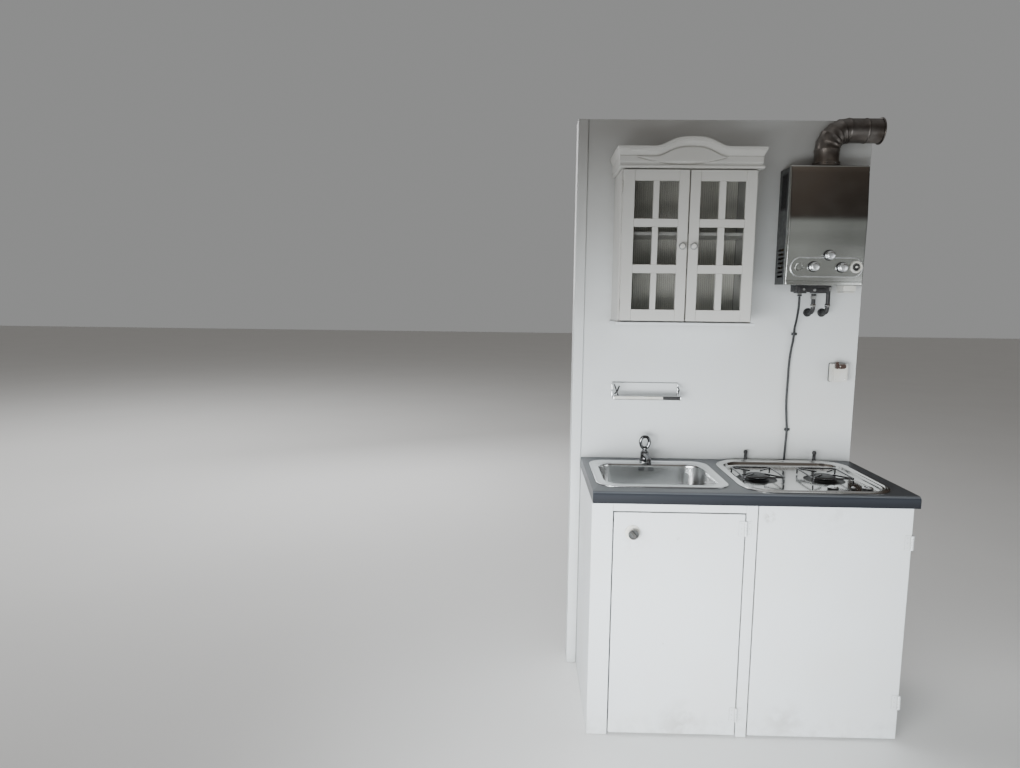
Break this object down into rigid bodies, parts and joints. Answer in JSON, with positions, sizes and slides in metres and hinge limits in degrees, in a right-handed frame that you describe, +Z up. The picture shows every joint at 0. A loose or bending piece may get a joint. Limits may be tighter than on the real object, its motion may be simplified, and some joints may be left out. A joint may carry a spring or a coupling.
{
  "type": "houseboat galley module",
  "caption": "Galley of a houseboat on its bulkhead: worktop with sink and gas hob over a doored base unit, glazed wall cabinet, gas water heater with flue.",
  "frame": {"origin": "floor level, middle of the bulkhead's width and of its thickness, on the foot of its stud frame", "axes": "+X along the bulkhead from the sink end to the heater end, -Y out of the wall towards the room, +Z up"},
  "size_m": [1.121, 0.5933, 2.2],
  "materials": {
    "wall_paint": "satin white paint on boards",
    "unit_paint": "cool white gloss paint on wood",
    "raw_pine": "sawn softwood",
    "worktop_laminate": "grey speckled laminate",
    "sheet_steel": "brushed",
    "bright_chrome": "polished",
    "dark_case": "dark grey enamel",
    "flue_metal": "heat-stained sheet",
    "black_iron": "black",
    "black_rubber": "matt black",
    "valve_brass": "dull",
    "window_glass": "clear",
    "white_plastic": "slightly yellowed white"
  },
  "bodies": {
    "root": {"bulkhead_lining": "wall_paint", "bulkhead_frame": "raw_pine", "bulkhead_boards": "wall_paint", "bulkhead_end_post": "wall_paint", "base_side_left": "unit_paint", "base_side_right": "unit_paint", "base_floor": "unit_paint", "base_divider": "unit_paint", "base_shelf": "unit_paint", "stile_left": "unit_paint", "rail_top": "unit_paint", "stile_centre": "unit_paint", "worktop": "worktop_laminate", "sink": "sheet_steel", "sink_waste": "bright_chrome", "sink_trap": "white_plastic", "tap_body": "bright_chrome", "tap_lever": "bright_chrome", "hob_tray": "sheet_steel", "hob_box": "sheet_steel", "burner_left": "black_iron", "burner_right": "black_iron", "pan_support_left": "bright_chrome", "pan_support_right": "bright_chrome", "hob_controls": "bright_chrome", "lid_peg_left": "black_iron", "lid_peg_right": "black_iron", "cabinet_side_left": "unit_paint", "cabinet_side_right": "unit_paint", "cabinet_bottom": "unit_paint", "cabinet_ledge": "unit_paint", "cabinet_back": "unit_paint", "cabinet_shelf_lower": "unit_paint", "cabinet_shelf_upper": "unit_paint", "cabinet_cornice": "unit_paint", "heater_case": "dark_case", "heater_cover": "sheet_steel", "heater_core": "valve_brass", "heater_controls": "bright_chrome", "heater_valve": "dark_case", "heater_battery_box": "white_plastic", "flue_pipe": "flue_metal", "pipe_cold": "black_iron", "pipe_hot": "black_iron", "gas_hose": "black_rubber", "hose_clip_upper": "black_rubber", "hose_clip_lower": "black_rubber", "gas_cock": "valve_brass", "wall_rack": "bright_chrome", "switch_box": "white_plastic"},
    "base_door_left": {"base_door_left_panel": "unit_paint", "base_door_left_latch": "bright_chrome"},
    "base_door_right": {"base_door_right_panel": "unit_paint"},
    "cabinet_door_left": {"cabinet_door_left_frame": "unit_paint", "cabinet_door_left_glass": "window_glass", "cabinet_door_left_knob": "white_plastic"},
    "cabinet_door_right": {"cabinet_door_right_frame": "unit_paint", "cabinet_door_right_glass": "window_glass", "cabinet_door_right_knob": "white_plastic"}
  },
  "joints": [
    {"name": "base_door_left_hinge", "type": "hinge", "parent": "root", "child": "base_door_left", "pos_m": [-0.022, -0.53, 0.42], "axis": [0, 0, 1], "range_deg": [0, 110]},
    {"name": "base_door_right_hinge", "type": "hinge", "parent": "root", "child": "base_door_right", "pos_m": [0.533, -0.53, 0.42], "axis": [0, 0, 1], "range_deg": [0, 90]},
    {"name": "cabinet_door_left_hinge", "type": "hinge", "parent": "root", "child": "cabinet_door_left", "pos_m": [-0.4315, -0.23, 1.708], "axis": [0, 0, -1], "range_deg": [0, 110]},
    {"name": "cabinet_door_right_hinge", "type": "hinge", "parent": "root", "child": "cabinet_door_right", "pos_m": [0.0505, -0.23, 1.708], "axis": [0, 0, 1], "range_deg": [0, 110]}
  ]
}
